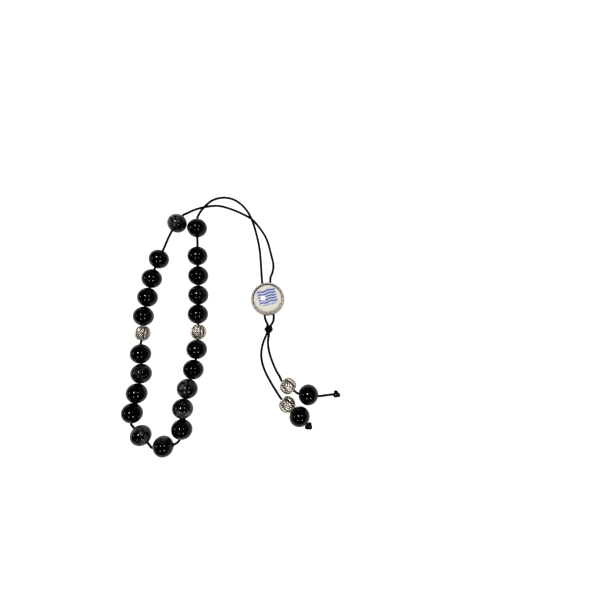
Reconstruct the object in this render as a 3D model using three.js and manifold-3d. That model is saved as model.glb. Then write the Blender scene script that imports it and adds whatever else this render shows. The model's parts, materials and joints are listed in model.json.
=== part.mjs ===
// A string of worry beads laid flat: a loop of dark beads and two metal spacers on one black cord,
// gathered by a round medallion and a knot, with two short tails that end in a metal and a dark bead.
// Units are millimetres, +Z is up, and the table is the plane z = 0.
import * as THREE from 'three';
import { mergeVertices } from 'three/addons/utils/BufferGeometryUtils.js';
import Module from 'manifold-3d';

const wasm = await Module();
wasm.setup();

// driving dimensions
const cordRadius = 0.5;
const cordSides = 8;
const cordRest = 0.55; // height of the cord's centre where it lies on the table
const darkBead = { radius: 5, hole: 1.2, squash: 0.97 }; // a little shorter along its hole
const spacerBead = { radius: 4.05, hole: 1.7, squash: 1 };
const tailMetalBead = { radius: 4.2, hole: 2.2, squash: 1 };
const hangs = 0.7; // how far the cord runs above the middle of a metal bead's wide hole
const aroundBead = 16; // facets around a bead, so that one edge of the middle ring points down
const alongBead = 8;
const touching = 0.3; // gap between the rims of two beads that sit against each other
const closeGap = 0.6; // beads nearer than this share one bend of the cord
const slidingGap = 4; // a bead with this much bare cord beside it slides along it

const medallion = {
  x: 16.9, y: 10.4, lean: 5.5, // degrees
  radius: 8.7, height: 5.8, cupRadius: 7.15, floor: 3.8,
  channelRadius: 1.1, channelX: 2.2, channelZ: 2.3,
  disc: 0.6, domeRise: 0.7,
};

const jointKnot = { at: [17.5, -5, 1.5], size: [2.2, 1.8, 1.5], turn: 25 };
const endKnotUpper = { at: [51.7, -37.6, 1.5], size: [1.8, 1.6, 1.5], turn: -50 };
const endKnotLower = { at: [37.8, -52.7, 4.6], size: [1.9, 1.2, 1.5], turn: 46 };

// The cord's way under the beads of the loop, from the first bead to the last.
const beadRun = [
  [-31, 50.4], [-36.2, 38.5], [-39.5, 31], [-42.6, 20.7], [-44.2, 10.9], [-45.7, 1.2], [-46, -7.8],
  [-46, -17.5], [-45.1, -27.3], [-46.7, -36.9], [-48.4, -46.4], [-43.5, -56.9], [-32.3, -62],
  [-23.8, -54.1], [-23.8, -44.5], [-22, -34.9], [-19.4, -25.5], [-18.1, -15.6], [-17.8, -6.9],
  [-18.2, 2.1], [-18.4, 12], [-18.8, 22.1], [-19.6, 32.6], [-20.2, 41.7], [-20.4, 47.8],
];

// What is threaded on the run, in order, with the bare cord before each piece and, in degrees,
// how far the piece is turned out of line.
const threaded = [
  [darkBead, 0, -8], [darkBead, 11.8], [darkBead, 1.3], [darkBead, 0.5], [darkBead, 0.4],
  [spacerBead, 0.2],
  [darkBead, 2], [darkBead, touching], [darkBead, touching], [darkBead, touching],
  [darkBead, 2.3], [darkBead, 3.1], [darkBead, 2.6, 5], [darkBead, 0.5], [darkBead, touching],
  [darkBead, touching], [darkBead, 0.6],
  [spacerBead, 0.4],
  [darkBead, 0.6], [darkBead, 0.4], [darkBead, 0.7], [darkBead, 1.1], [darkBead, 5.8],
];

const material = (color, roughness, metalness) =>
  new THREE.MeshStandardMaterial({ color, roughness, metalness });

const part = new THREE.Group();

function addMesh(name, geometry, look, parent = part) {
  const mesh = new THREE.Mesh(geometry, look);
  mesh.name = name;
  parent.add(mesh);
  return mesh;
}

// Half the length of a drilled bead, from its middle to the rim of its hole.
const halfLength = ({ radius, hole, squash }) => squash * Math.sqrt(radius ** 2 - hole ** 2);

const beadHeight = (bead) => bead.radius; // every bead rests on the table
const cordHeight = (bead) => bead.radius + (bead === darkBead ? 0 : hangs);

// A ball with a hole through it along its own Y axis.
function drilledBall({ radius, hole, squash }) {
  const mouth = Math.acos(hole / radius);
  const profile = [];
  for (let i = 0; i <= alongBead; i++) {
    const angle = mouth * ((2 * i) / alongBead - 1);
    profile.push(new THREE.Vector2(radius * Math.cos(angle), squash * radius * Math.sin(angle)));
  }
  profile.push(profile[0].clone());
  return new THREE.LatheGeometry(profile, aroundBead);
}

// Sets a bead on the table with its hole along a level direction.
function layBead(mesh, bead, middle, direction) {
  const up = new THREE.Vector3(0, 0, 1);
  const along = new THREE.Vector3(direction.x, direction.y, 0).normalize();
  const side = new THREE.Vector3().crossVectors(along, up);
  mesh.quaternion.setFromRotationMatrix(new THREE.Matrix4().makeBasis(side, along, up));
  mesh.position.set(middle.x, middle.y, beadHeight(bead));
}

// A round cord with one step on each of the given points.
function cordAlong(points) {
  const path = new THREE.CatmullRomCurve3(points, false, 'centripetal');
  path.getUtoTmapping = (u) => u;
  const section = new THREE.Shape();
  for (let i = 0; i < cordSides; i++) {
    const angle = (2 * Math.PI * i) / cordSides;
    const corner = [cordRadius * Math.cos(angle), cordRadius * Math.sin(angle)];
    if (i === 0) section.moveTo(...corner);
    else section.lineTo(...corner);
  }
  return new THREE.ExtrudeGeometry(section, { steps: points.length - 1, extrudePath: path });
}

// The cord stays straight through a bead and for a little way past its rim, before it bends.
const pastRim = (gap) => Math.min(0.35, gap / 2 - 0.1);

// Where the straight stretch of cord in a bead starts and ends.
function throughBead(bead, middle, direction, gapBefore = 1, gapAfter = 1) {
  const along = new THREE.Vector3(direction.x, direction.y, 0).normalize();
  const centre = new THREE.Vector3(middle.x, middle.y, cordHeight(bead));
  const half = halfLength(bead);
  return [
    centre.clone().addScaledVector(along, -half - pastRim(gapBefore)),
    centre.clone().addScaledVector(along, half + pastRim(gapAfter)),
  ];
}

const toVectors = (list) => list.map(([x, y, z]) => new THREE.Vector3(x, y, z));

// The middles of the threaded pieces, measured off along the run.
function threadedMiddles() {
  const run = new THREE.CatmullRomCurve3(beadRun.map(([x, y]) => new THREE.Vector3(x, y, 0)), false);
  const length = run.getLength();
  let travelled = -halfLength(darkBead);
  return threaded.map(([bead, gap]) => {
    const distance = travelled + gap + halfLength(bead);
    travelled = distance + halfLength(bead);
    return run.getPointAt(Math.min(distance / length, 1));
  });
}

// A bead points at its neighbours, and most of all at one that it touches or slides towards.
function pointing(middles, i) {
  const direction = new THREE.Vector3();
  const towards = (from, to, gap) => {
    const step = middles[to].clone().sub(middles[from]).normalize();
    direction.addScaledVector(step, gap > slidingGap ? 3 : 1 / Math.min(gap, 1));
  };
  if (i > 0) towards(i - 1, i, threaded[i][1]);
  if (i < threaded.length - 1) towards(i, i + 1, threaded[i + 1][1]);
  const turn = THREE.MathUtils.degToRad(threaded[i][2] ?? 0);
  return direction.normalize().applyAxisAngle(new THREE.Vector3(0, 0, 1), turn);
}

// Places the loop's beads and returns the cord's points through them. Where two beads touch,
// one point between their rims is enough.
function stringLoop(beadLook, metalLook) {
  const middles = threadedMiddles();
  const sides = ['left', 'right'];
  const cord = [];
  let darkCount = 0;
  threaded.forEach(([bead, gap], i) => {
    const metal = bead === spacerBead;
    const name = metal
      ? `metal_spacer_${sides.shift()}`
      : `loop_bead_${String(++darkCount).padStart(2, '0')}`;
    const mesh = addMesh(name, drilledBall(bead), metal ? metalLook : beadLook);
    const direction = pointing(middles, i);
    layBead(mesh, bead, middles[i], direction);
    const [start, end] = throughBead(bead, middles[i], direction, gap || 1, threaded[i + 1]?.[1]);
    if (i > 0 && gap < closeGap) cord.at(-1).lerp(start, 0.5);
    else cord.push(start);
    cord.push(end);
  });
  return cord;
}

// A point of the medallion's own frame, carried to the table.
function onMedallion(x, y, z) {
  const lean = THREE.MathUtils.degToRad(medallion.lean);
  return new THREE.Vector3(x, y, z)
    .applyAxisAngle(new THREE.Vector3(0, 0, 1), lean)
    .add(new THREE.Vector3(medallion.x, medallion.y, 0));
}

// The cord from the knot through the right-hand channel to the first bead.
function rightLead() {
  const { channelX, channelZ } = medallion;
  return [
    ...toVectors([[18.7, -2.8, 1.6], [19.7, -1.2, 2]]),
    onMedallion(channelX, -9.9, channelZ),
    onMedallion(channelX, 10.6, channelZ),
    ...toVectors([
      [19, 24.6, 1.4], [19.5, 28.5, cordRest], [18.1, 35.1, cordRest], [15.5, 43.6, cordRest],
      [11.8, 49.4, 1.1], [7.9, 53.7, 1.8], [2.7, 57, 1.1], [-3, 59.7, cordRest],
      [-10.7, 61.8, cordRest], [-17.9, 61, 0.9], [-23, 58.8, 2.4], [-26.1, 56.4, 4.1],
    ]),
  ];
}

// The cord from the last bead through the left-hand channel to the knot.
function leftLead() {
  const { channelX, channelZ } = medallion;
  return [
    ...toVectors([
      [-20.1, 55.4, 4.2], [-19.1, 58.2, 3], [-17.3, 61.1, 2.2], [-13.6, 64.9, 1],
      [-8.2, 66.5, cordRest], [-2.4, 65.4, cordRest], [2.5, 61.9, cordRest], [6, 57.4, cordRest],
      [8, 53.1, cordRest], [10, 46.8, cordRest], [12, 37.9, cordRest],
      [12.8, 30.5, cordRest], [13.2, 26, 1.4],
    ]),
    onMedallion(-channelX, 10.6, channelZ),
    onMedallion(-channelX, -9.9, channelZ),
    ...toVectors([[16.9, -2.6, 1.8]]),
  ];
}

// One tail: bare cord from the knot, a metal bead, a dark bead and an end knot.
function addTail(name, tail, looks) {
  const metal = addMesh(`tail_metal_${name}`, drilledBall(tailMetalBead), looks.metal);
  const dark = addMesh(`tail_bead_${name}`, drilledBall(darkBead), looks.bead);
  const metalAt = new THREE.Vector3(...tail.metalAt, 0);
  const darkAt = new THREE.Vector3(...tail.darkAt, 0);
  const heading = (degrees) =>
    new THREE.Vector3(1, 0, 0).applyAxisAngle(new THREE.Vector3(0, 0, 1), THREE.MathUtils.degToRad(degrees));
  layBead(metal, tailMetalBead, metalAt, heading(tail.metalHeading));
  layBead(dark, darkBead, darkAt, heading(tail.darkHeading));
  const points = [
    ...toVectors(tail.start),
    ...throughBead(tailMetalBead, metalAt, heading(tail.metalHeading)),
    ...throughBead(darkBead, darkAt, heading(tail.darkHeading)),
    ...toVectors(tail.end),
  ];
  addMesh(`tail_cord_${name}`, cordAlong(points), looks.cord);
  addKnot(`end_knot_${name}`, tail.knot, looks.cord);
}

const upperTail = {
  start: [
    [17.6, -7.4, 1.2], [17.1, -11.6, cordRest], [17.9, -16.9, cordRest],
    [19.8, -22.3, cordRest], [21.6, -26.1, 1.9], [23.4, -28.9, 3.6],
  ],
  metalAt: [27.6, -33.4], metalHeading: -38,
  darkAt: [37.6, -37.7], darkHeading: -7,
  end: [[46, -38, 3.6], [49.2, -37.7, 2.1]],
  knot: endKnotUpper,
};

const lowerTail = {
  start: [
    [16.5, -7.4, 1.2], [14.8, -11.4, cordRest], [13.8, -16.5, cordRest], [14.2, -21.5, cordRest],
    [16, -26.6, cordRest], [18.7, -31.5, 1.2], [21.6, -35.9, 3.2],
  ],
  metalAt: [27.2, -42.4], metalHeading: -44,
  darkAt: [33.3, -48.1], darkHeading: -44,
  end: [],
  knot: endKnotLower,
};

function addKnot(name, { at, size, turn }, look) {
  const knot = addMesh(name, new THREE.SphereGeometry(1, 16, 10), look);
  knot.geometry.scale(...size);
  knot.rotation.z = THREE.MathUtils.degToRad(turn);
  knot.position.set(...at);
}

// A profile of [radius, height] points turned about the Z axis.
function turned(profile, facets = 40) {
  const points = profile.map(([r, z]) => new THREE.Vector2(r, z));
  return new THREE.LatheGeometry(points, facets).rotateX(Math.PI / 2);
}

function toSolid(geometry) {
  const bare = geometry.clone();
  bare.deleteAttribute('normal');
  bare.deleteAttribute('uv');
  const merged = mergeVertices(bare, 1e-4);
  return new wasm.Manifold(new wasm.Mesh({
    numProp: 3,
    vertProperties: new Float32Array(merged.attributes.position.array),
    triVerts: new Uint32Array(merged.index.array),
  }));
}

function toGeometry(solid) {
  const mesh = solid.getMesh();
  const geometry = new THREE.BufferGeometry();
  geometry.setAttribute('position', new THREE.BufferAttribute(mesh.vertProperties, 3));
  geometry.setIndex(new THREE.BufferAttribute(mesh.triVerts, 1));
  geometry.computeVertexNormals();
  return geometry;
}

// The bezel: a round cup with a bulging side, a rolled rim and two channels for the cord.
function bezelGeometry() {
  const { radius, height, cupRadius, floor, channelRadius, channelX, channelZ } = medallion;
  const body = toSolid(turned([
    [0, 0], [radius - 1.2, 0], [radius - 0.4, 0.8], [radius, 2.4], [radius - 0.2, 4],
    [radius - 0.6, height - 0.5], [radius - 0.95, height], [cupRadius + 0.3, height - 0.1],
    [cupRadius, height - 0.5], [cupRadius, floor], [0, floor],
  ]));
  const drill = (x) => toSolid(
    new THREE.CylinderGeometry(channelRadius, channelRadius, 3 * radius, 12).translate(x, 0, channelZ),
  );
  return toGeometry(body.subtract(drill(channelX)).subtract(drill(-channelX)));
}

function addMedallion(looks) {
  const group = new THREE.Group();
  group.position.set(medallion.x, medallion.y, 0);
  group.rotation.z = THREE.MathUtils.degToRad(medallion.lean);
  part.add(group);
  const { floor, disc, domeRise, cupRadius } = medallion;
  const inner = cupRadius - 0.3;
  const top = floor + disc;
  addMesh('medallion_bezel', bezelGeometry(), looks.bezel, group);
  addMesh('medallion_disc', turned([[0, floor], [inner, floor], [inner, top], [0, top]]), looks.disc, group);
  addMesh('medallion_dome', turned([
    [0, top], [inner, top], [inner, top + 0.25], [inner * 0.85, top + 0.25 + domeRise * 0.4],
    [inner * 0.5, top + 0.25 + domeRise * 0.85], [0, top + 0.25 + domeRise],
  ]), looks.dome, group);
}

const looks = {
  bead: material(0x0b0b0d, 0.12, 0),
  metal: material(0x8f8578, 0.4, 1),
  cord: material(0x0a0a0a, 0.8, 0),
  bezel: material(0xb7aca0, 0.3, 1),
  disc: material(0xe6e3d8, 0.6, 0),
  dome: material(0xf4f6f8, 0.05, 0),
};

const strungPoints = stringLoop(looks.bead, looks.metal);
addMesh('loop_cord', cordAlong([...rightLead(), ...strungPoints, ...leftLead()]), looks.cord);
addKnot('joint_knot', jointKnot, looks.cord);
addTail('upper', upperTail, looks);
addTail('lower', lowerTail, looks);
addMedallion(looks);

export default part;
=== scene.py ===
import json
import math

import bpy
import bmesh
from mathutils import Matrix, Vector


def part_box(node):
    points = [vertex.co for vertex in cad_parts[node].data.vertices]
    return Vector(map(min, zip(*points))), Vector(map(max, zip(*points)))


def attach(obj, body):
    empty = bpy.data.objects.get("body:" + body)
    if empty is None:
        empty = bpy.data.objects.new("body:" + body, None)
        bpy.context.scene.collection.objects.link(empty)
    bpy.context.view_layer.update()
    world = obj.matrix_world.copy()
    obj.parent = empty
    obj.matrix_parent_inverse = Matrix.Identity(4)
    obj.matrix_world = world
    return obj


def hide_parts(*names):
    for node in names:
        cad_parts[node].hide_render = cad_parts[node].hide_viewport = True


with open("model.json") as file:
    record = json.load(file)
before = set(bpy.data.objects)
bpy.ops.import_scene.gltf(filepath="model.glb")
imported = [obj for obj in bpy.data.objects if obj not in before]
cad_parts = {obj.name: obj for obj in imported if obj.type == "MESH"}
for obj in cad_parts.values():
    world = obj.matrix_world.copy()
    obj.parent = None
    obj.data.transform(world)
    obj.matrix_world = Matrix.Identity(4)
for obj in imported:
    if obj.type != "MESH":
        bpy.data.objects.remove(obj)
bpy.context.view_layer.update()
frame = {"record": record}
mm = 0.001

joints = {joint["child"]: joint for joint in frame["record"]["behaviour"]["joints"]}
bodyOf = {
    node: body
    for body, nodes in frame["record"]["behaviour"]["bodies"].items()
    for node in nodes
}


def srgb(hexColour, alpha=1.0):  # "#rrggbb" to the linear values that a shader wants
    channels = [int(hexColour[i : i + 2], 16) / 255 for i in (1, 3, 5)]
    linear = [c / 12.92 if c <= 0.04045 else ((c + 0.055) / 1.055) ** 2.4 for c in channels]
    return (*linear, alpha)


def add(tree, kind, inputs=None, **settings):  # a node with its settings, values and links
    node = tree.nodes.new(kind)
    for name, value in settings.items():
        setattr(node, name, value)
    for name, value in (inputs or {}).items():
        if isinstance(value, bpy.types.NodeSocket):
            tree.links.new(value, node.inputs[name])
        else:
            node.inputs[name].default_value = value
    return node


def calculator(tree):  # short way to write sums inside a tree
    def calc(operation, a, b=0.0):
        return add(tree, "ShaderNodeMath", {0: a, 1: b}, operation=operation).outputs[0]

    return calc


def ease(tree, value, start, end, low=0.0, high=1.0):  # goes gently from low to high
    return add(tree, "ShaderNodeMapRange", {
        "Value": value, "From Min": start, "From Max": end, "To Min": low, "To Max": high,
    }, interpolation_type="SMOOTHSTEP").outputs[0]


def startMaterial(name):
    material = bpy.data.materials.new(name)
    material.use_nodes = True
    material.node_tree.nodes.clear()
    return material, material.node_tree


def middleOf(node):
    low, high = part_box(node)
    return (Vector(low) + Vector(high)) / 2


def holeAxis(node):  # level direction of the hole through a bead
    axis = Vector(joints[node]["axis"])
    return Vector((axis.x, axis.y, 0)).normalized()


def startTree(name, sockets):  # a geometry tree with named inputs
    tree = bpy.data.node_groups.new(name, "GeometryNodeTree")
    tree.is_modifier = True
    tree.interface.new_socket("Geometry", in_out="INPUT", socket_type="NodeSocketGeometry")
    for label, kind in sockets:
        tree.interface.new_socket(label, in_out="INPUT", socket_type="NodeSocket" + kind)
    tree.interface.new_socket("Geometry", in_out="OUTPUT", socket_type="NodeSocketGeometry")
    given = add(tree, "NodeGroupInput").outputs
    return tree, given


def endTree(tree, geometry, material):
    smooth = add(tree, "GeometryNodeSetShadeSmooth", {0: geometry}).outputs[0]
    realized = add(tree, "GeometryNodeRealizeInstances", {0: smooth}).outputs[0]
    painted = add(tree, "GeometryNodeSetMaterial", {"Geometry": realized, "Material": material})
    add(tree, "NodeGroupOutput", {0: painted.outputs[0]})


def grow(name, tree, values, mesh=None):  # runs a tree once and keeps the plain mesh
    piece = bpy.data.objects.new(name, mesh or bpy.data.meshes.new(name))
    bpy.context.scene.collection.objects.link(piece)
    modifier = piece.modifiers.new("grow", "NODES")
    modifier.node_group = tree
    for socket in tree.interface.items_tree:
        if socket.in_out == "INPUT" and socket.name in values:
            modifier[socket.identifier] = values[socket.name]
    piece.update_tag()
    graph = bpy.context.evaluated_depsgraph_get()
    grown = bpy.data.meshes.new_from_object(piece.evaluated_get(graph))
    piece.modifiers.clear()
    piece.data = grown
    grown.name = name
    return piece


def settle(piece, body, slot, *nodes):  # rides a body, stands for CAD nodes; slot is not used
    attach(piece, body)
    if nodes:
        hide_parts(*nodes)
    return piece


studio = {
    "cameraAt": (33.5, -27.4, 222.7),  # mm, leaning 10 degrees from straight down
    "lookAt": (33.5, 10.4, 0.0),
    "lens": 26.0,
    # place in m, power in W, radius in m
    "lamps": [
        ((-0.31, 0.31, 1.67), 17.0, 0.11),
        ((0.63, -0.88, 1.0), 5.0, 0.09),
        ((-0.38, -0.98, 1.07), 2.6, 0.09),
        ((0.76, 0.26, 1.25), 2.4, 0.09),
        ((-1.39, 0.04, 0.67), 2.2, 0.09),
    ],
    "floorHalf": 3.0, "floorDrop": 0.00002,  # m, and just under the beads
    "glow": 0.98,  # light that the floor sheet gives by itself
    # degrees round from +X, and heights on a ball of radius 1
    "window": {"towards": 40.0, "height": 0.16, "fade": 0.3, "strength": 0.25},
    "ceiling": 0.012,
}


def placeCamera():
    camera = bpy.data.objects.new("camera", bpy.data.cameras.new("camera"))
    bpy.context.scene.collection.objects.link(camera)
    camera.data.lens = studio["lens"]
    camera.data.sensor_width = 36
    camera.data.clip_start = 0.01
    camera.location = Vector(studio["cameraAt"]) * mm
    towards = Vector(studio["lookAt"]) * mm - camera.location
    camera.rotation_euler = towards.to_track_quat("-Z", "Y").to_euler()
    bpy.context.scene.camera = camera


def lightTable():  # matt white acrylic sheet, lit from below, so it stays white under the string
    material, tree = startMaterial("whiteAcrylicSheet")
    where = add(tree, "ShaderNodeTexCoord").outputs["Object"]
    grain = add(tree, "ShaderNodeTexNoise", {"Vector": where, "Scale": 1 / 0.002, "Detail": 3.0})
    tone = add(tree, "ShaderNodeMix", {
        "Factor": grain.outputs["Fac"], "A": srgb("#5a5a5a"), "B": srgb("#606060"),
    }, data_type="RGBA")
    surface = add(tree, "ShaderNodeBsdfPrincipled", {
        "Base Color": tone.outputs["Result"], "Roughness": 0.9, "Specular IOR Level": 0.1,
        "Emission Color": srgb("#ffffff"), "Emission Strength": studio["glow"],
    })
    add(tree, "ShaderNodeOutputMaterial", {"Surface": surface.outputs[0]})
    return material


def placeStudio():
    mesh = bpy.data.meshes.new("floor")
    half = studio["floorHalf"]
    corners = [(-half, -half, 0), (half, -half, 0), (half, half, 0), (-half, half, 0)]
    mesh.from_pydata(corners, [], [(0, 1, 2, 3)])
    floor = bpy.data.objects.new("floor", mesh)
    bpy.context.scene.collection.objects.link(floor)
    floor.location.z = -studio["floorDrop"]
    mesh.materials.append(lightTable())
    for number, (place, power, radius) in enumerate(studio["lamps"]):
        lamp = bpy.data.objects.new(f"lamp{number}", bpy.data.lights.new(f"lamp{number}", "AREA"))
        bpy.context.scene.collection.objects.link(lamp)
        lamp.data.shape = "DISK"
        lamp.data.size = 2 * radius
        lamp.data.energy = power
        lamp.location = Vector(place)
        lamp.rotation_euler = Vector(place).to_track_quat("Z", "Y").to_euler()
    lightRoom()


def lightRoom():  # a dark room with one pale window low on one side
    world = bpy.data.worlds.new("room")
    bpy.context.scene.world = world
    world.use_nodes = True
    tree = world.node_tree
    tree.nodes.clear()
    window = studio["window"]
    angle = math.radians(window["towards"])
    looking = add(tree, "ShaderNodeTexCoord").outputs["Generated"]
    sideways = add(tree, "ShaderNodeVectorMath", {
        0: looking, 1: (math.cos(angle), math.sin(angle), 0.0),
    }, operation="DOT_PRODUCT").outputs["Value"]
    height = add(tree, "ShaderNodeSeparateXYZ", {0: looking}).outputs["Z"]
    facing = ease(tree, sideways, -0.3, 0.9, 0.12, 1.0)  # bright on its own side of the room
    fades = window["height"] + window["fade"]
    low = ease(tree, height, window["height"], fades, window["strength"], 0.0)
    pane = add(tree, "ShaderNodeMath", {0: facing, 1: low}, operation="MULTIPLY").outputs[0]
    light = add(tree, "ShaderNodeMath", {0: pane, 1: studio["ceiling"]}, operation="ADD").outputs[0]
    sky = add(tree, "ShaderNodeBackground", {"Color": srgb("#ffffff"), "Strength": light})
    add(tree, "ShaderNodeOutputWorld", {"Surface": sky.outputs[0]})
    bpy.context.scene.view_settings.view_transform = "Standard"
    bpy.context.scene.view_settings.look = "Medium High Contrast"


def polishedBlackStone():
    # tumbled and polished onyx: a wet, mirror-like black, with faint grey clouds inside it
    material, tree = startMaterial("polishedBlackStone")
    where = add(tree, "ShaderNodeTexCoord").outputs["Object"]
    cloud = add(tree, "ShaderNodeAttribute", attribute_name="cloud")
    drift = add(tree, "ShaderNodeTexNoise", {
        "Vector": where, "Scale": 1 / 0.0035, "Detail": 6.0, "Roughness": 0.62, "Distortion": 0.8,
    })
    speck = add(tree, "ShaderNodeTexNoise", {
        "Vector": where, "Scale": 1 / 0.0009, "Detail": 4.0, "Roughness": 0.7,
    })
    veil = ease(tree, drift.outputs["Fac"], 0.42, 0.64)
    broken = add(tree, "ShaderNodeMapRange", {
        "Value": speck.outputs["Fac"], "From Min": 0.35, "From Max": 0.7, "To Min": 0.35,
    })
    calc = calculator(tree)
    patchy = calc("MULTIPLY", veil, broken.outputs[0])
    share = calc("MULTIPLY", patchy, cloud.outputs["Fac"])
    tone = add(tree, "ShaderNodeMix", {
        "Factor": share, "A": srgb("#020202"), "B": srgb("#8a8d8e"),
    }, data_type="RGBA")
    gloss = add(tree, "ShaderNodeMapRange", {
        "Value": speck.outputs["Fac"], "To Min": 0.03, "To Max": 0.06,
    })
    surface = add(tree, "ShaderNodeBsdfPrincipled", {
        "Base Color": tone.outputs["Result"], "Roughness": gloss.outputs[0], "IOR": 1.3,
    })
    add(tree, "ShaderNodeOutputMaterial", {"Surface": surface.outputs[0]})
    return material


def antiqueSilverAlloy():
    # cast zinc alloy, silver plated, blackened and rubbed back: bright ridges over brown hollows
    material, tree = startMaterial("antiqueSilverAlloy")
    where = add(tree, "ShaderNodeTexCoord").outputs["Object"]
    relief = add(tree, "ShaderNodeAttribute", attribute_name="relief").outputs["Fac"]
    grain = add(tree, "ShaderNodeTexNoise", {
        "Vector": where, "Scale": 1 / 0.0006, "Detail": 5.0, "Roughness": 0.65,
    }).outputs["Fac"]
    worn = add(tree, "ShaderNodeMath", {0: grain, 1: 0.35, 2: relief}, operation="MULTIPLY_ADD")
    level = add(tree, "ShaderNodeMath", {0: worn.outputs[0], 1: 0.17}, operation="SUBTRACT")
    colours = add(tree, "ShaderNodeValToRGB", {"Fac": level.outputs[0]})
    ramp = colours.color_ramp
    ramp.elements[0].position = 0.12
    ramp.elements[0].color = srgb("#1d1510")
    ramp.elements[1].position = 0.85
    ramp.elements[1].color = srgb("#e0d9cf")
    ramp.elements.new(0.38).color = srgb("#8a7f71")
    ramp.elements.new(0.6).color = srgb("#b8ae9e")
    rough = add(tree, "ShaderNodeMapRange", {
        "Value": level.outputs[0], "To Min": 0.6, "To Max": 0.38,
    })
    shine = add(tree, "ShaderNodeMapRange", {
        "Value": level.outputs[0], "From Min": 0.1, "From Max": 0.45, "To Min": 0.25, "To Max": 1.0,
    })
    pits = add(tree, "ShaderNodeBump", {"Height": grain, "Strength": 0.25, "Distance": 0.00006})
    surface = add(tree, "ShaderNodeBsdfPrincipled", {
        "Base Color": colours.outputs["Color"], "Roughness": rough.outputs[0],
        "Metallic": shine.outputs[0], "Normal": pits.outputs[0],
    })
    add(tree, "ShaderNodeOutputMaterial", {"Surface": surface.outputs[0]})
    return material


def braidedWaxedCord():
    # eight waxed polyester yarns, plaited: dull black, with a painted sheen on top of each yarn and
    # painted shade in the crevices between them
    material, tree = startMaterial("braidedWaxedCord")
    where = add(tree, "ShaderNodeTexCoord").outputs["Object"]
    relief = add(tree, "ShaderNodeAttribute", attribute_name="relief").outputs["Fac"]
    fibre = add(tree, "ShaderNodeTexNoise", {
        "Vector": where, "Scale": 1 / 0.00015, "Detail": 3.0, "Roughness": 0.6,
    }).outputs["Fac"]
    # painted sheen and shade: the yarn crests are painted a little lighter than the crevices
    # between them
    lift = add(tree, "ShaderNodeMath", {0: relief, 1: fibre}, operation="MULTIPLY")
    tone = add(tree, "ShaderNodeMix", {
        "Factor": lift.outputs[0], "A": srgb("#010101"), "B": srgb("#0a0a0a"),
    }, data_type="RGBA")
    rough = add(tree, "ShaderNodeMapRange", {"Value": fibre, "To Min": 0.5, "To Max": 0.75})
    fuzz = add(tree, "ShaderNodeBump", {"Height": fibre, "Strength": 0.3, "Distance": 0.00003})
    surface = add(tree, "ShaderNodeBsdfPrincipled", {
        "Base Color": tone.outputs["Result"], "Roughness": rough.outputs[0],
        "Normal": fuzz.outputs[0], "Specular IOR Level": 0.1,
    })
    add(tree, "ShaderNodeOutputMaterial", {"Surface": surface.outputs[0]})
    return material


def castBezelSilver():
    # tumbled silver-plated casting: soft warm shine, with painted brown shade inside the cup, in
    # the channels and at the foot
    material, tree = startMaterial("castBezelSilver")
    where = add(tree, "ShaderNodeTexCoord").outputs["Object"]
    patina = add(tree, "ShaderNodeAttribute", attribute_name="patina").outputs["Fac"]
    cloudy = add(tree, "ShaderNodeTexNoise", {
        "Vector": where, "Scale": 1 / 0.006, "Detail": 2.0, "Roughness": 0.5,
    }).outputs["Fac"]
    grain = add(tree, "ShaderNodeTexNoise", {
        "Vector": where, "Scale": 1 / 0.0004, "Detail": 3.0, "Roughness": 0.6,
    }).outputs["Fac"]
    warm = add(tree, "ShaderNodeMix", {
        "Factor": cloudy, "A": srgb("#9c9389"), "B": srgb("#b0a89f"),
    }, data_type="RGBA")
    # painted shade: the stored mask darkens the cup's upper inner wall, the channels and the foot
    # towards dark brown, and the cloudy noise adds a little random tarnish
    tarnishAndPaintedShade = add(tree, "ShaderNodeMath", {0: cloudy, 1: 0.3, 2: patina}, operation="MULTIPLY_ADD")
    share = ease(tree, tarnishAndPaintedShade.outputs[0], 0.4, 1.1)
    tone = add(tree, "ShaderNodeMix", {
        "Factor": share, "A": warm.outputs["Result"], "B": srgb("#33221c"),
    }, data_type="RGBA")
    rough = add(tree, "ShaderNodeMapRange", {"Value": cloudy, "To Min": 0.42, "To Max": 0.56})
    skin = add(tree, "ShaderNodeBump", {"Height": grain, "Strength": 0.03, "Distance": 0.00002})
    surface = add(tree, "ShaderNodeBsdfPrincipled", {
        "Base Color": tone.outputs["Result"], "Roughness": rough.outputs[0], "Metallic": 1.0,
        "Normal": skin.outputs[0],
    })
    add(tree, "ShaderNodeOutputMaterial", {"Surface": surface.outputs[0]})
    return material


def coatedCard():
    # white coated card under resin: almost white, with a faint warm mottle
    material, tree = startMaterial("coatedCard")
    where = add(tree, "ShaderNodeTexCoord").outputs["Object"]
    mottle = add(tree, "ShaderNodeTexNoise", {
        "Vector": where, "Scale": 1 / 0.0012, "Detail": 4.0, "Roughness": 0.6,
    }).outputs["Fac"]
    tone = add(tree, "ShaderNodeMix", {
        "Factor": mottle, "A": srgb("#d0ccc6"), "B": srgb("#dddad5"),
    }, data_type="RGBA")
    rough = add(tree, "ShaderNodeMapRange", {"Value": mottle, "To Min": 0.4, "To Max": 0.6})
    surface = add(tree, "ShaderNodeBsdfPrincipled", {
        "Base Color": tone.outputs["Result"], "Roughness": rough.outputs[0],
    })
    add(tree, "ShaderNodeOutputMaterial", {"Surface": surface.outputs[0]})
    return material


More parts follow.
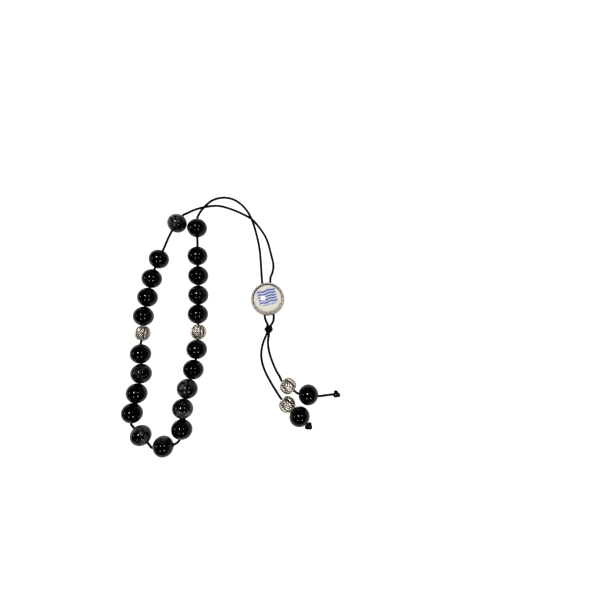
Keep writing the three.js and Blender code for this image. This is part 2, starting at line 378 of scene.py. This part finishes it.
def printedInk(name, deep, light):
    # screen printed ink: a dense blue that varies a little where the film is thinner
    material, tree = startMaterial(name)
    where = add(tree, "ShaderNodeTexCoord").outputs["Object"]
    film = add(tree, "ShaderNodeTexNoise", {
        "Vector": where, "Scale": 1 / 0.0015, "Detail": 3.0, "Roughness": 0.5,
    }).outputs["Fac"]
    spread = add(tree, "ShaderNodeMapRange", {"Value": film, "From Min": 0.35, "From Max": 0.65})
    tone = add(tree, "ShaderNodeMix", {
        "Factor": spread.outputs[0], "A": srgb(deep), "B": srgb(light),
    }, data_type="RGBA")
    rough = add(tree, "ShaderNodeMapRange", {"Value": film, "To Min": 0.35, "To Max": 0.5})
    surface = add(tree, "ShaderNodeBsdfPrincipled", {
        "Base Color": tone.outputs["Result"], "Roughness": rough.outputs[0],
    })
    add(tree, "ShaderNodeOutputMaterial", {"Surface": surface.outputs[0]})
    return material


def castResin():
    # clear epoxy poured into the bezel: light goes straight through, and its skin mirrors the room
    material, tree = startMaterial("castResin")
    where = add(tree, "ShaderNodeTexCoord").outputs["Object"]
    skin = add(tree, "ShaderNodeTexNoise", {
        "Vector": where, "Scale": 1 / 0.003, "Detail": 2.0, "Roughness": 0.4,
    }).outputs["Fac"]
    tint = add(tree, "ShaderNodeMix", {
        "Factor": skin, "A": srgb("#fbfbf8"), "B": srgb("#ffffff"),
    }, data_type="RGBA").outputs["Result"]
    rough = add(tree, "ShaderNodeMapRange", {
        "Value": skin, "To Min": 0.03, "To Max": 0.05,
    }).outputs[0]
    uneven = add(tree, "ShaderNodeBump", {
        "Height": skin, "Strength": 0.03, "Distance": 0.00003,
    }).outputs[0]
    inside = add(tree, "ShaderNodeBsdfTransparent", {"Color": tint}).outputs[0]
    skinShine = add(tree, "ShaderNodeBsdfGlossy", {
        "Color": tint, "Roughness": rough, "Normal": uneven,
    }).outputs[0]
    fresnel = add(tree, "ShaderNodeFresnel", {"IOR": 1.45, "Normal": uneven}).outputs[0]
    # only the outer skin shines, since light isn't bent inside
    calc = calculator(tree)
    backfacing = add(tree, "ShaderNodeNewGeometry").outputs["Backfacing"]
    share = calc("MULTIPLY", fresnel, calc("SUBTRACT", 1.0, backfacing))
    surface = add(tree, "ShaderNodeMixShader", {0: share, 1: inside, 2: skinShine})
    add(tree, "ShaderNodeOutputMaterial", {"Surface": surface.outputs[0]})
    return material


darkBeads = {
    "radius": 5.15, "hole": 1.2, "rimRound": 0.22,  # mm, each a radius
    "squash": 0.955,  # shorter along the hole
    "around": 72, "along": 44,  # facets
    # how cloudy a bead is, and the side that the cloud lies on
    "plain": (0.02, (0.0, 0.0, 1.0)),
    "clouds": {
        "loop_bead_01": (1.0, (-0.7, 0.5, 0.5)),
        "loop_bead_07": (0.25, (0.2, -0.4, 0.9)),
        "loop_bead_10": (0.55, (0.2, 0.4, 0.9)),
        "loop_bead_11": (0.5, (0.1, 1.0, -0.2)),
        "loop_bead_13": (0.6, (0.7, -0.1, 0.6)),
        "loop_bead_14": (0.55, (-0.6, 0.5, 0.6)),
        "loop_bead_18": (0.45, (-0.9, 0.2, 0.4)),
    },
}

metalBeads = {
    "spacer": {"radius": 4.05, "hole": 1.7, "rows": 3.6, "slant": 3.2, "depth": 0.36},
    "tail": {"radius": 4.2, "hole": 2.2, "rows": 3.8, "slant": 3.0, "depth": 0.28},
    "rimRound": 0.18,
    "columns": 4,
    "reversed": ["metal_spacer_left"],  # threaded the other way round
    # how far the bands have turned round the hole, in columns
    "turns": {
        "metal_spacer_left": 0.36, "metal_spacer_right": 0.36,
        "tail_metal_upper": 0.73, "tail_metal_lower": 0.78,
    },
    "around": 220, "along": 72,
}

carving = {
    # across one column, as shares of it
    "band": 0.66, "ribFrom": 0.7, "ribTo": 0.9, "soft": 0.04,
    # out from the mouth of the hole, as shares of the radius
    "lip": 0.09, "groove": 0.15, "grooveHalf": 0.04,
    "skin": (0.93, 0.99),  # shares of the radius; the wall of the hole is deeper and stays plain
}


def beadTree(material):
    # an arc closed by its own chord is a drilled ball's section; it is swept round the hole
    tree, given = startTree("drilledBead", [
        ("Radius", "Float"), ("Hole", "Float"), ("Rim", "Float"), ("Around", "Int"),
        ("Along", "Int"), ("Squash", "Float"), ("Middle", "Vector"), ("Axis", "Vector"),
        ("Cloud", "Float"), ("Cloud Side", "Vector"), ("Columns", "Float"), ("Rows", "Float"),
        ("Slant", "Float"), ("Turn", "Float"), ("Depth", "Float"),
    ])
    calc = calculator(tree)
    mouth = calc("ARCCOSINE", calc("DIVIDE", given["Hole"], given["Radius"]))
    arc = add(tree, "GeometryNodeCurveArc", {
        "Resolution": given["Along"], "Radius": given["Radius"],
        "Start Angle": calc("MULTIPLY", mouth, -1.0), "Sweep Angle": calc("MULTIPLY", mouth, 2.0),
    }, mode="RADIUS").outputs[0]
    closed = add(tree, "GeometryNodeSetSplineCyclic", {"Geometry": arc, "Cyclic": True}).outputs[0]
    rounded = add(tree, "GeometryNodeFilletCurve", {
        "Curve": closed, "Count": 4, "Radius": given["Rim"], "Limit Radius": True,
    }, mode="POLY").outputs[0]
    back = add(tree, "ShaderNodeCombineXYZ", {
        "X": calc("MULTIPLY", given["Radius"], -0.5),
    }).outputs[0]
    flat = add(tree, "ShaderNodeCombineXYZ", {"X": 1.0, "Y": given["Squash"], "Z": 1.0}).outputs[0]
    section = add(tree, "GeometryNodeTransform", {
        "Geometry": rounded, "Translation": back, "Scale": flat,
    }).outputs[0]
    ring = add(tree, "GeometryNodeCurvePrimitiveCircle", {
        "Resolution": given["Around"], "Radius": calc("MULTIPLY", given["Radius"], 0.5),
    }, mode="RADIUS").outputs[0]
    turned = add(tree, "GeometryNodeCurveToMesh", {
        "Curve": ring, "Profile Curve": section,
    }).outputs[0]

    # carving: bands of slanted ridges that meet in chevrons, each beside a plain rib and a groove
    place = add(tree, "GeometryNodeInputPosition").outputs[0]
    xyz = add(tree, "ShaderNodeSeparateXYZ", {0: place}).outputs
    aroundHole = calc("DIVIDE", calc("ARCTAN2", xyz["Y"], xyz["X"]), 2 * math.pi)
    high = calc("DIVIDE", xyz["Z"], given["Radius"])
    bands = calc("MULTIPLY", calc("ADD", aroundHole, 1.0), given["Columns"])
    across = calc("FRACT", calc("ADD", bands, given["Turn"]))
    band, soft = carving["band"], carving["soft"]
    ribFrom, ribTo = carving["ribFrom"], carving["ribTo"]
    fromSpine = calc("ABSOLUTE", calc("SUBTRACT", calc("DIVIDE", across, band), 0.5))
    climb = calc("MULTIPLY", high, given["Rows"])
    step = calc("ADD", climb, calc("MULTIPLY", fromSpine, given["Slant"]))
    ridge = calc("ABSOLUTE", calc("SINE", calc("MULTIPLY", step, math.pi)))
    inBand = calc(
        "MULTIPLY", ease(tree, across, 0.0, soft), ease(tree, across, band - soft, band, 1.0, 0.0)
    )
    rib = calc(
        "MULTIPLY", ease(tree, across, ribFrom, ribFrom + soft),
        ease(tree, across, ribTo - soft, ribTo, 1.0, 0.0),
    )
    figure = calc("MAXIMUM", calc("MULTIPLY", ridge, inBand), rib)
    squared = calc("MINIMUM", calc("MULTIPLY", high, high), 1.0)
    beside = calc("SQRT", calc("SUBTRACT", 1.0, squared))
    pastMouth = calc("SUBTRACT", beside, calc("DIVIDE", given["Hole"], given["Radius"]))
    lip = ease(tree, pastMouth, carving["lip"], carving["lip"] + soft, 1.0, 0.0)
    fromGroove = calc("ABSOLUTE", calc("SUBTRACT", pastMouth, carving["groove"]))
    groove = ease(tree, fromGroove, 0.0, carving["grooveHalf"])
    carved = calc("MULTIPLY", calc("MAXIMUM", figure, lip), groove)
    outside = add(tree, "ShaderNodeMapRange", {
        "Value": add(tree, "ShaderNodeVectorMath", {0: place}, operation="LENGTH").outputs["Value"],
        "From Min": calc("MULTIPLY", given["Radius"], carving["skin"][0]),
        "From Max": calc("MULTIPLY", given["Radius"], carving["skin"][1]),
    }).outputs[0]
    noted = add(tree, "GeometryNodeStoreNamedAttribute", {
        "Geometry": turned, "Name": "relief", "Value": calc("MULTIPLY", carved, outside),
    }, data_type="FLOAT", domain="POINT").outputs[0]
    hollow = calc("MULTIPLY", calc("SUBTRACT", 1.0, carved), outside)
    sink = calc("MULTIPLY", hollow, given["Depth"])
    inward = add(tree, "ShaderNodeVectorMath", {
        0: add(tree, "ShaderNodeVectorMath", {0: place}, operation="NORMALIZE").outputs[0],
        "Scale": calc("MULTIPLY", sink, -1.0),
    }, operation="SCALE").outputs[0]
    shaped = add(tree, "GeometryNodeSetPosition", {"Geometry": noted, "Offset": inward}).outputs[0]

    # laid in its place on the string, with the cloud on one side
    rotation = add(tree, "FunctionNodeAlignRotationToVector", {
        "Vector": given["Axis"],
    }, axis="Z").outputs[0]
    laid = add(tree, "GeometryNodeTransform", {
        "Geometry": shaped, "Translation": given["Middle"], "Rotation": rotation,
    }).outputs[0]
    towardsCloud = add(tree, "ShaderNodeVectorMath", {
        0: given["Cloud Side"],
    }, operation="NORMALIZE").outputs[0]
    facing = add(tree, "ShaderNodeVectorMath", {
        0: add(tree, "GeometryNodeInputNormal").outputs[0], 1: towardsCloud,
    }, operation="DOT_PRODUCT").outputs["Value"]
    side = ease(tree, facing, 0.0, 0.8, 0.1, 1.0)
    clouded = add(tree, "GeometryNodeStoreNamedAttribute", {
        "Geometry": laid, "Name": "cloud", "Value": calc("MULTIPLY", side, given["Cloud"]),
    }, data_type="FLOAT", domain="POINT").outputs[0]
    endTree(tree, clouded, material)
    return tree


def threadBeads():
    stone = beadTree(polishedBlackStone())
    silver = beadTree(antiqueSilverAlloy())
    beads = {}
    for node in sorted(bodyOf):
        dark = "_bead_" in node
        metal = node.startswith(("metal_spacer", "tail_metal"))
        if not dark and not metal:
            continue
        values = {"Middle": middleOf(node), "Axis": holeAxis(node)}
        if dark:
            cloud, side = darkBeads["clouds"].get(node, darkBeads["plain"])
            values["Middle"].z = darkBeads["radius"] * mm  # it rests on the table
            values |= {
                "Radius": darkBeads["radius"] * mm, "Hole": darkBeads["hole"] * mm,
                "Rim": darkBeads["rimRound"] * mm, "Around": darkBeads["around"],
                "Along": darkBeads["along"], "Cloud": cloud, "Cloud Side": side,
                "Squash": darkBeads["squash"], "Columns": 1.0, "Rows": 1.0, "Slant": 0.0,
                "Turn": 0.0, "Depth": 0.0,
            }
        else:
            kind = metalBeads["spacer" if node.startswith("metal_spacer") else "tail"]
            if node in metalBeads["reversed"]:
                values["Axis"] = -values["Axis"]
            values |= {
                "Radius": kind["radius"] * mm, "Hole": kind["hole"] * mm,
                "Rim": metalBeads["rimRound"] * mm, "Around": metalBeads["around"],
                "Along": metalBeads["along"], "Cloud": 0.0, "Cloud Side": (0.0, 0.0, 1.0),
                "Squash": 1.0, "Columns": float(metalBeads["columns"]), "Rows": kind["rows"],
                "Slant": kind["slant"], "Turn": metalBeads["turns"][node],
                "Depth": kind["depth"] * mm,
            }
        name = node.title().replace("_", "")
        piece = grow(name[0].lower() + name[1:], stone if dark else silver, values)
        beads[node] = settle(piece, bodyOf[node], "dark_bead" if dark else "carved_metal", node)
    print("beads threaded:", len(beads))
    return beads


def halfHole(radius, hole):  # half the length of the hole through a ball
    return math.sqrt(radius**2 - hole**2)


cord = {
    "radius": 0.6, "rest": 0.55,  # mm, and height of the line where it lies on the table
    "hangs": 0.7,  # the middle of a metal bead hangs this far below the line
    "yarns": 8, "lay": 4.5, "relief": 0.045, "step": 0.13, "around": 20,
    # half of the straight stretch in a bead
    "beadHalf": {
        "dark": 0.97 * halfHole(5.0, darkBeads["hole"]),
        "spacer": halfHole(metalBeads["spacer"]["radius"], metalBeads["spacer"]["hole"]),
        "tail": halfHole(metalBeads["tail"]["radius"], metalBeads["tail"]["hole"]),
    },
    "pastRim": 0.35, "closeGap": 0.9, "fine": 0.25,
}
rest = cord["rest"]

medallion = {
    "at": (16.9, 10.4), "lean": 5.5, "radius": 8.7, "height": 5.8, "cup": 7.15, "floor": 3.8,
    "channel": 1.1, "channelX": 2.2, "channelZ": 2.3,
    "disc": 0.6, "play": 0.04,  # thickness of the card, and room round card and resin
    "domeRise": 0.6, "domeEdge": 0.2,
}


def onMedallion(x, y, z):  # from the medallion's own frame to the table, in mm
    turn = Matrix.Rotation(math.radians(medallion["lean"]), 3, "Z")
    return turn @ Vector((x, y, z)) + Vector((*medallion["at"], 0))


def rightLead():  # from the knot through the right-hand channel to the first bead
    x, z = medallion["channelX"], medallion["channelZ"]
    return [
        (17.8, -4.4, 1.5), (18.7, -2.8, 1.6), (19.7, -1.2, 2.0),
        onMedallion(x, -9.9, z), onMedallion(x, 10.6, z),
        (19.0, 24.6, 1.4), (19.5, 28.5, rest), (18.1, 35.1, rest), (15.5, 43.6, rest),
        (11.8, 49.4, 1.1), (7.9, 53.7, 1.8), (2.7, 57.0, 1.1), (-3.0, 59.7, rest),
        (-10.7, 61.8, rest), (-17.9, 61.0, 0.9), (-23.0, 58.8, 2.4), (-26.1, 56.4, 4.1),
    ]


def leftLead():  # from the last bead through the left-hand channel to the knot
    x, z = medallion["channelX"], medallion["channelZ"]
    return [
        (-20.1, 55.4, 4.2), (-19.1, 58.2, 3.0), (-17.3, 61.1, 2.2), (-13.6, 64.9, 1.0),
        (-8.2, 66.5, rest), (-2.4, 65.4, rest), (2.5, 61.9, rest), (6.0, 57.4, rest),
        (8.0, 53.1, rest), (10.0, 46.8, rest), (12.0, 37.9, rest), (12.8, 30.5, rest),
        (13.2, 26.0, 1.4), onMedallion(-x, 10.6, z), onMedallion(-x, -9.9, z),
        (16.9, -2.6, 1.8), (17.2, -4.4, 1.5),
    ]


tails = {
    "upper": {
        "start": [(17.4, -5.6, 1.5), (17.6, -7.4, 1.2), (17.1, -11.6, rest), (17.9, -16.9, rest),
                  (19.8, -22.3, rest), (21.6, -26.1, 1.9), (23.4, -28.9, 3.6)],
        "end": [(46.0, -38.0, 3.6), (49.2, -37.7, 2.1), (51.0, -37.6, 1.6)],
    },
    "lower": {
        "start": [(17.1, -5.6, 1.5), (16.5, -7.4, 1.2), (14.8, -11.4, rest), (13.8, -16.5, rest),
                  (14.2, -21.5, rest), (16.0, -26.6, rest), (18.7, -31.5, 1.2), (21.6, -35.9, 3.2)],
        "end": [(37.5, -52.4, 4.7)],
    },
}


def throughBead(node):  # middle, direction and half length of the cord's stretch in a bead, in mm
    kind = "dark" if "_bead_" in node else "spacer" if "spacer" in node else "tail"
    middle = middleOf(node) / mm
    if kind != "dark":
        middle.z += cord["hangs"]
    along = holeAxis(node)
    half = cord["beadHalf"][kind]
    return middle, along, half


def throughBeads(nodes):  # points only in the gaps between beads, on the lines of their holes
    points = []
    previous = None
    for node in nodes:
        middle, along, half = throughBead(node)
        if previous and along.dot(middle - previous[0]) < 0:
            along = -along
        start, end = middle - along * half, middle + along * half
        if previous:
            lastEnd, lastAlong = previous[1], previous[2]
            gap = (start - lastEnd).length
            if gap < cord["closeGap"]:
                points.append((lastEnd + start) / 2)
            else:
                past = min(cord["pastRim"], gap / 2 - 0.1)
                points += [lastEnd + lastAlong * past, start - along * past]
        else:
            points.append(start - along * cord["pastRim"])
        previous = (middle, end, along)
    points.append(previous[1] + previous[2] * cord["pastRim"])
    return points


def smoothed(points):  # centripetal spline through the points, kept above the table
    points = [Vector(p) for p in points]
    points = [2 * points[0] - points[1], *points, 2 * points[-1] - points[-2]]
    fine = []
    for a, b, c, d in zip(points, points[1:], points[2:], points[3:]):
        ta = 0.0
        tb = ta + math.sqrt((b - a).length)
        tc = tb + math.sqrt((c - b).length)
        td = tc + math.sqrt((d - c).length)
        count = max(4, int((c - b).length / cord["fine"]))
        for i in range(count):
            t = tb + (tc - tb) * i / count
            ab = a.lerp(b, (t - ta) / (tb - ta))
            bc = b.lerp(c, (t - tb) / (tc - tb))
            cd = c.lerp(d, (t - tc) / (td - tc))
            abc = ab.lerp(bc, (t - ta) / (tc - ta))
            bcd = bc.lerp(cd, (t - tb) / (td - tb))
            fine.append(abc.lerp(bcd, (t - tb) / (tc - tb)))
    fine.append(points[-2])
    return [Vector((p.x, p.y, max(p.z, cord["radius"]))) for p in fine]


def cordTree(material):
    # a round section swept along a line, with plaited yarns raised on its skin
    tree, given = startTree("plaitedCord", [
        ("Radius", "Float"), ("Step", "Float"), ("Around", "Int"), ("Yarns", "Float"),
        ("Lay", "Float"), ("Relief", "Float"),
    ])
    calc = calculator(tree)
    line = add(tree, "GeometryNodeMeshToCurve", {0: given["Geometry"]}).outputs[0]
    even = add(tree, "GeometryNodeResampleCurve", {
        "Curve": line, "Length": given["Step"],
    }, mode="LENGTH").outputs[0]
    travelled = add(tree, "GeometryNodeSplineParameter").outputs["Length"]
    measured = add(tree, "GeometryNodeStoreNamedAttribute", {
        "Geometry": even, "Name": "along", "Value": travelled,
    }, data_type="FLOAT", domain="POINT").outputs[0]
    ring = add(tree, "GeometryNodeCurvePrimitiveCircle", {
        "Resolution": given["Around"], "Radius": given["Radius"],
    }, mode="RADIUS").outputs[0]
    part = add(tree, "GeometryNodeSplineParameter").outputs["Factor"]
    marked = add(tree, "GeometryNodeStoreNamedAttribute", {
        "Geometry": ring, "Name": "around", "Value": part,
    }, data_type="FLOAT", domain="POINT").outputs[0]
    tube = add(tree, "GeometryNodeCurveToMesh", {
        "Curve": measured, "Profile Curve": marked, "Fill Caps": True,
    }).outputs[0]
    along, around = (
        add(tree, "GeometryNodeInputNamedAttribute", {"Name": name}, data_type="FLOAT").outputs[0]
        for name in ("along", "around")
    )

    # yarns that run round both ways, each as a row of crests
    turn = calc("MULTIPLY", around, 2 * math.pi)
    twist = calc("MULTIPLY", calc("DIVIDE", along, given["Lay"]), 2 * math.pi)
    pairs = calc("MULTIPLY", given["Yarns"], 0.25)
    crests = [
        calc("ABSOLUTE", calc("COSINE", calc("MULTIPLY", calc(way, turn, twist), pairs)))
        for way in ("ADD", "SUBTRACT")
    ]
    plait = calc("MAXIMUM", *crests)
    noted = add(tree, "GeometryNodeStoreNamedAttribute", {
        "Geometry": tube, "Name": "relief", "Value": plait,
    }, data_type="FLOAT", domain="POINT").outputs[0]
    lift = calc("MULTIPLY", calc("SUBTRACT", plait, 0.6), given["Relief"])
    push = add(tree, "ShaderNodeVectorMath", {
        0: add(tree, "GeometryNodeInputNormal").outputs[0], "Scale": lift,
    }, operation="SCALE").outputs[0]
    plaited = add(tree, "GeometryNodeSetPosition", {"Geometry": noted, "Offset": push}).outputs[0]
    endTree(tree, plaited, material)
    return tree


def layCord(name, tree, points):  # points in mm
    mesh = bpy.data.meshes.new(name)
    spots = [Vector(p) * mm for p in points]
    mesh.from_pydata(spots, [(i, i + 1) for i in range(len(spots) - 1)], [])
    return grow(name, tree, {
        "Radius": cord["radius"] * mm, "Step": cord["step"] * mm, "Around": cord["around"],
        "Yarns": float(cord["yarns"]), "Lay": cord["lay"] * mm, "Relief": cord["relief"] * mm,
    }, mesh)


def lengthOf(points):
    return sum((Vector(b) - Vector(a)).length for a, b in zip(points, points[1:])) * mm


knots = {  # spread in mm, turn in degrees
    "joint": {"node": "joint_knot", "spread": (0.57, 0.5, 0.5), "turn": 25.0, "strands": 2},
    "upper": {"node": "end_knot_upper", "spread": (0.52, 0.42, 0.45), "turn": -50.0, "strands": 1},
    "lower": {"node": "end_knot_lower", "spread": (0.52, 0.42, 0.45), "turn": 47.0, "strands": 1},
}


def knotLine(kind, strand):  # an overhand knot pulled tight, in mm
    middle = middleOf(kind["node"]) / mm
    turn = Matrix.Rotation(math.radians(kind["turn"] + 60 * strand), 3, "Z")
    line = []
    steps = 90
    for i in range(steps + 1):
        t = 2 * math.pi * (0.04 + 0.92 * i / steps)  # not quite closed, as a knot has two ends
        loop = Vector((
            (math.sin(t) + 2 * math.sin(2 * t)) * kind["spread"][0],
            (math.cos(t) - 2 * math.cos(2 * t)) * kind["spread"][1],
            -math.sin(3 * t) * kind["spread"][2],
        ))
        spot = turn @ loop + middle
        line.append(Vector((spot.x, spot.y, max(spot.z, cord["radius"]))))
    return line


def join(pieces):
    if len(pieces) > 1:
        with bpy.context.temp_override(active_object=pieces[0], selected_editable_objects=pieces):
            bpy.ops.object.join()
    return pieces[0]


def tieKnots(tree):
    tied = {}
    for key, kind in knots.items():
        piece = join([
            layCord(f"knotStrand{key}{strand}", tree, knotLine(kind, strand))
            for strand in range(kind["strands"])
        ])
        piece.name = f"{key}Knot"
        tied[key] = settle(piece, bodyOf[kind["node"]], "cord", kind["node"])
    print("knots tied:", len(tied))
    return tied


def layCords(tree):
    loopOrder = [f"loop_bead_{i:02d}" for i in range(1, 22)]
    loopOrder.insert(5, "metal_spacer_left")
    loopOrder.insert(17, "metal_spacer_right")
    loopPoints = smoothed([*rightLead(), *throughBeads(loopOrder), *leftLead()])
    loop = settle(layCord("loopCord", tree, loopPoints), "loop", "cord", "loop_cord")
    knotted = tieKnots(tree)
    for side, tail in tails.items():
        beads = [f"tail_metal_{side}", f"tail_bead_{side}"]
        points = smoothed([*tail["start"], *throughBeads(beads), *tail["end"]])
        piece = layCord(f"tailCord{side.title()}", tree, points)
        settle(piece, f"tail_{side}", "cord", f"tail_cord_{side}")
    print("cords laid, loop length in mm:", round(lengthOf(loopPoints) / mm))


def turnedShell(name, profile, facets=160):  # radius and height pairs, turned on the medallion
    mesh = bpy.data.meshes.new(name)
    shell = bmesh.new()
    rings = []
    for radius, height in profile:
        if radius == 0:
            rings.append([shell.verts.new(onMedallion(0, 0, height) * mm)])
            continue
        ring = []
        for i in range(facets):
            angle = 2 * math.pi * i / facets
            ring.append(shell.verts.new(
                onMedallion(radius * math.cos(angle), radius * math.sin(angle), height) * mm))
        rings.append(ring)
    for low, high in zip(rings, rings[1:]):
        for i in range(facets):
            j = (i + 1) % facets
            if len(low) == 1:
                shell.faces.new((low[0], high[j], high[i]))
            elif len(high) == 1:
                shell.faces.new((low[i], low[j], high[0]))
            else:
                shell.faces.new((low[i], low[j], high[j], high[i]))
    bmesh.ops.recalc_face_normals(shell, faces=shell.faces)
    shell.to_mesh(mesh)
    shell.free()
    piece = bpy.data.objects.new(name, mesh)
    bpy.context.scene.collection.objects.link(piece)
    return piece


def roundedProfile(corners, rounds=4):  # cuts each corner by a short quadratic curve
    profile = [Vector(corners[0])]
    for before, corner, after in zip(corners, corners[1:], corners[2:]):
        before, corner, after = Vector(before), Vector(corner), Vector(after)
        start, end = corner.lerp(before, 0.4), corner.lerp(after, 0.4)
        for i in range(rounds + 1):
            t = i / rounds
            profile.append((1 - t) ** 2 * start + 2 * t * (1 - t) * corner + t * t * end)
    profile.append(Vector(corners[-1]))
    return [(p.x, p.y) for p in profile]


def shadeSmooth(mesh, angle=35):
    mesh.polygons.foreach_set("use_smooth", [True] * len(mesh.polygons))
    mesh.update()
    mesh.set_sharp_from_angle(angle=math.radians(angle))


def castBezel():
    radius, height, cup, floor = (medallion[k] for k in ("radius", "height", "cup", "floor"))
    # from the foot up round the rim and down into the cup
    outline = roundedProfile([
        (0, 0), (radius - 1.2, 0), (radius - 0.35, 0.8), (radius, 2.4), (radius - 0.15, 4.0),
        (radius - 0.5, height - 0.5), (radius - 0.85, height), (cup + 0.3, height - 0.05),
        (cup, height - 0.5), (cup, floor + 0.1), (cup - 0.1, floor), (0, floor),
    ])
    bezel = turnedShell("medallionBezel", outline)
    drills = []
    for x in (-medallion["channelX"], medallion["channelX"]):
        mesh = bpy.data.meshes.new("drill")
        drill = bmesh.new()
        along = Matrix.Rotation(math.radians(90), 4, "X")
        bmesh.ops.create_cone(
            drill, cap_ends=True, segments=48, radius1=medallion["channel"],
            radius2=medallion["channel"], depth=3 * radius,
            matrix=Matrix.Translation((x, 0, medallion["channelZ"])) @ along,
        )
        for vertex in drill.verts:
            vertex.co = onMedallion(*vertex.co) * mm
        drill.to_mesh(mesh)
        drill.free()
        tool = bpy.data.objects.new("drill", mesh)
        bpy.context.scene.collection.objects.link(tool)
        cut = bezel.modifiers.new("channel", "BOOLEAN")
        cut.object = tool
        cut.solver = "EXACT"
        drills.append(tool)
    graph = bpy.context.evaluated_depsgraph_get()
    drilled = bpy.data.meshes.new_from_object(bezel.evaluated_get(graph))
    bezel.modifiers.clear()
    bezel.data = drilled
    for tool in drills:
        bpy.data.objects.remove(tool)
    shadeSmooth(drilled, 40)

    # painted shade, in dark brown: on the cup's upper inner wall where the rim's shadow falls,
    # inside the channels, and along the foot next to the table
    tarnishAndPaintedShade = drilled.attributes.new("patina", "FLOAT", "POINT")
    for index, vertex in enumerate(drilled.vertices):
        flat = Vector((vertex.co.x, vertex.co.y)) / mm - Vector(medallion["at"])
        z = vertex.co.z / mm
        inCup = flat.length < cup + 0.12 and z > floor - 0.1
        inChannel = flat.length < radius - 0.6 and z < floor - 0.1 and z > 0.05
        # the painted shade on the cup's wall is strongest on its upper (+Y) side
        upper = 0.4 + 0.6 * max(0.0, flat.y / cup) ** 0.5
        deep = upper if inCup and z < height - 0.2 else 0.0
        tarnishAndPaintedShade.data[index].value = 1.0 if inChannel else max(deep, 0.5 * max(0.0, 0.6 - z))
    drilled.materials.append(castBezelSilver())
    return settle(bezel, "medallion", "bezel", "medallion_bezel")


def cutDisc():
    inner = medallion["cup"] - medallion["play"]
    low, top = medallion["floor"] + 0.02, medallion["floor"] + medallion["disc"]
    disc = turnedShell("medallionDisc", [
        (0, low), (inner, low), (inner, top - 0.1), (inner - 0.1, top), (0, top),
    ])
    shadeSmooth(disc.data, 30)
    disc.data.materials.append(coatedCard())
    return settle(disc, "medallion", "disc", "medallion_disc")


def pourDome():
    inner = medallion["cup"] - medallion["play"]
    low = medallion["floor"] + medallion["disc"] + 0.06  # clear of the ink
    rise, edge = medallion["domeRise"], medallion["domeEdge"]
    steps = 24
    outward = [1 - i / steps for i in range(steps)]
    crown = [(inner * part, low + edge + rise * (1 - part**2)) for part in outward]
    dome = turnedShell("medallionDome", [(0, low), (inner, low), *crown, (0, low + edge + rise)])
    shadeSmooth(dome.data, 50)
    dome.data.materials.append(castResin())
    return settle(dome, "medallion", "dome", "medallion_dome")


emblem = {  # mm and degrees
    "tilt": 16.0, "middle": (-0.1, 1.2), "bands": 5, "pitch": 1.45, "width": 0.88, "length": 9.4,
    "waves": 2.0, "swing": 0.22, "thick": 0.03,
    "dots": 6, "dotSize": 0.46, "dotPitch": 1.18, "dotsBelow": 0.65,
}


def printed(name, outlines, material):  # thin film of ink, one outline for each mark, in mm
    mesh = bpy.data.meshes.new(name)
    film = bmesh.new()
    low = medallion["floor"] + medallion["disc"] + 0.01
    tilt = Matrix.Rotation(math.radians(emblem["tilt"] - medallion["lean"]), 3, "Z")
    for left, right in outlines:
        spots = []
        for height in (low, low + emblem["thick"]):
            for line in (left, right):
                row = []
                for x, y in line:
                    spot = tilt @ Vector((x, y, 0)) + Vector((*emblem["middle"], height))
                    row.append(film.verts.new(onMedallion(*spot) * mm))
                spots.append(row)
        lowLeft, lowRight, topLeft, topRight = spots
        for i in range(len(left) - 1):
            film.faces.new((topLeft[i], topLeft[i + 1], topRight[i + 1], topRight[i]))
            film.faces.new((lowLeft[i], lowRight[i], lowRight[i + 1], lowLeft[i + 1]))
            film.faces.new((lowLeft[i], lowLeft[i + 1], topLeft[i + 1], topLeft[i]))
            film.faces.new((lowRight[i], topRight[i], topRight[i + 1], lowRight[i + 1]))
        for end in (0, -1):
            film.faces.new((lowLeft[end], topLeft[end], topRight[end], lowRight[end]))
    bmesh.ops.recalc_face_normals(film, faces=film.faces)
    film.to_mesh(mesh)
    film.free()
    mesh.materials.append(material)
    piece = bpy.data.objects.new(name, mesh)
    bpy.context.scene.collection.objects.link(piece)
    return settle(piece, "medallion", "disc")


def printEmblem():
    steps = 60
    half = emblem["width"] / 2
    bands = []
    for band in range(emblem["bands"]):
        y = ((emblem["bands"] - 1) / 2 - band) * emblem["pitch"]
        xs = [emblem["length"] * (i / steps - 0.5) for i in range(steps + 1)]
        sway = [
            emblem["swing"] * math.sin(2 * math.pi * emblem["waves"] * i / steps)
            for i in range(steps + 1)
        ]
        bands.append((
            [(x, y + s + half) for x, s in zip(xs, sway)],
            [(x, y + s - half) for x, s in zip(xs, sway)],
        ))
    printed("waveBands", bands, printedInk("screenInkBlue", "#1519ae", "#1150a6"))
    dots = []
    below = -(emblem["bands"] / 2) * emblem["pitch"] - emblem["dotsBelow"]
    rim = [math.pi * i / 10 for i in range(11)]
    size, seam = emblem["dotSize"], 0.001  # the seam keeps a dot's end faces from being empty
    for dot in range(emblem["dots"]):
        x = (dot - (emblem["dots"] - 1) / 2) * emblem["dotPitch"]
        dots.append(tuple(
            [
                (x - size * (1 - seam) * math.cos(a), below + side * (size * math.sin(a) + seam))
                for a in rim
            ]
            for side in (1, -1)
        ))
    printed("dotRow", dots, printedInk("screenInkPale", "#5a76b8", "#788fc4"))


def makeMedallion():
    castBezel()
    cutDisc()
    printEmblem()
    pourDome()
    print("medallion made")


placeCamera()
placeStudio()
layCords(cordTree(braidedWaxedCord()))
threadBeads()
makeMedallion()
